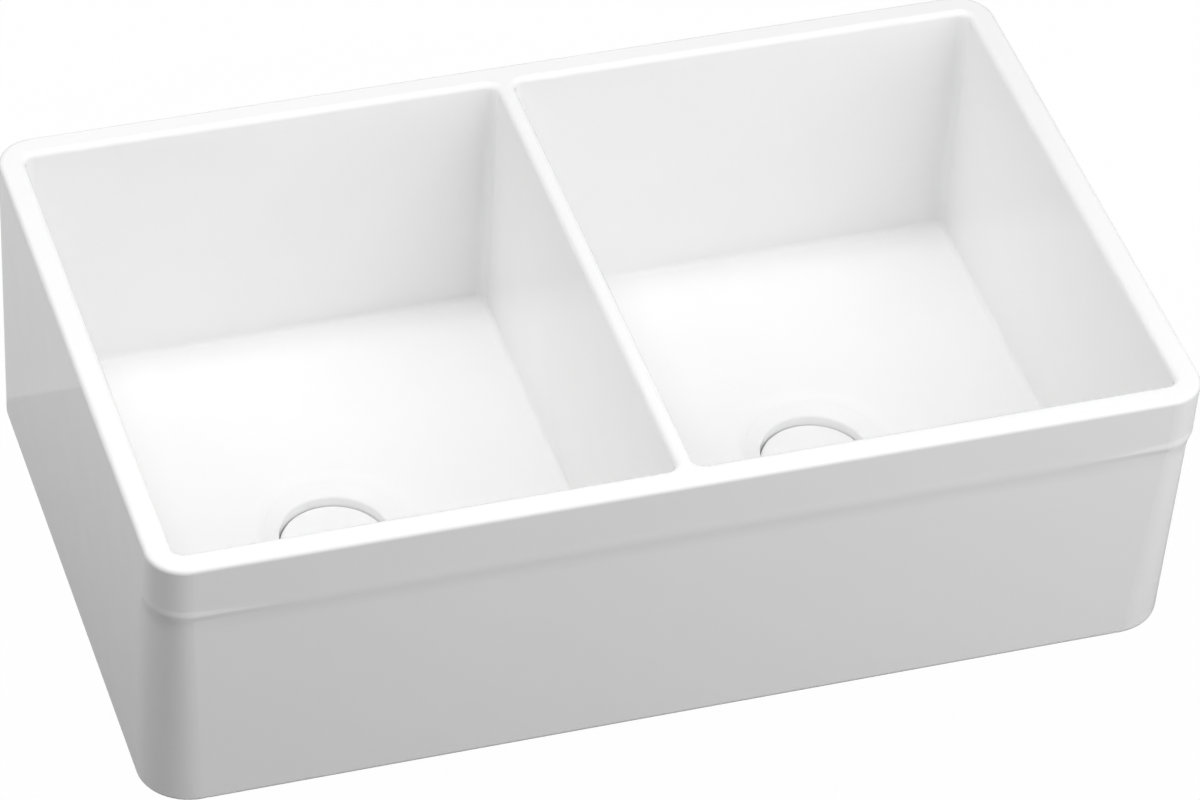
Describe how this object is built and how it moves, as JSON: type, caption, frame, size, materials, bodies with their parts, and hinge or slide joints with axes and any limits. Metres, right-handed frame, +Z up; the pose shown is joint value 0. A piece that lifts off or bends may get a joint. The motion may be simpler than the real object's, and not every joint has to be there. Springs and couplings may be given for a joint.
{
  "type": "kitchen sink",
  "caption": "White fireclay apron-front kitchen sink with equal side-by-side bowls, a raised band along the apron, and a lift-out basket strainer waste in each bowl.",
  "frame": {"origin": "centre of the sink's flat base face", "axes": "+X to the right along the apron, +Y from the apron to the back, +Z up"},
  "size_m": [0.838, 0.5216, 0.3871],
  "materials": {
    "glazed_fireclay": "glossy white glaze",
    "white_enamel": "glossy white enamel on brass",
    "sealing_foam": "matte",
    "black_rubber": "matte",
    "fibre": "matte",
    "zinc": "as die-cast, satin",
    "white_plastic": "satin",
    "chrome": "polished",
    "stainless_steel": "bright pressed sheet"
  },
  "bodies": {
    "sink": {"fireclay_body": "glazed_fireclay", "left_strainer_body": "white_enamel", "left_flange_seal": "sealing_foam", "left_under_gasket": "black_rubber", "left_friction_ring": "fibre", "left_locknut": "zinc", "left_outlet_washer": "white_plastic", "left_tailpiece": "chrome", "left_coupling_nut": "chrome", "right_strainer_body": "white_enamel", "right_flange_seal": "sealing_foam", "right_under_gasket": "black_rubber", "right_friction_ring": "fibre", "right_locknut": "zinc", "right_outlet_washer": "white_plastic", "right_tailpiece": "chrome", "right_coupling_nut": "chrome"},
    "left_basket_set": {"left_basket": "stainless_steel", "left_basket_post": "stainless_steel", "left_basket_stopper": "black_rubber"},
    "left_cap_set": {"left_drain_cap": "white_enamel", "left_cap_feet": "black_rubber"},
    "right_basket_set": {"right_basket": "stainless_steel", "right_basket_post": "stainless_steel", "right_basket_stopper": "black_rubber"},
    "right_cap_set": {"right_drain_cap": "white_enamel", "right_cap_feet": "black_rubber"}
  },
  "joints": [
    {"name": "left_basket_lift", "type": "slide", "parent": "sink", "child": "left_basket_set", "axis": [0, 0, 1], "range_m": [0, 0.3]},
    {"name": "left_cap_lift", "type": "slide", "parent": "left_basket_set", "child": "left_cap_set", "axis": [0, 0, 1], "range_m": [0, 0.26]},
    {"name": "right_basket_lift", "type": "slide", "parent": "sink", "child": "right_basket_set", "axis": [0, 0, 1], "range_m": [0, 0.3]},
    {"name": "right_cap_lift", "type": "slide", "parent": "right_basket_set", "child": "right_cap_set", "axis": [0, 0, 1], "range_m": [0, 0.26]}
  ]
}
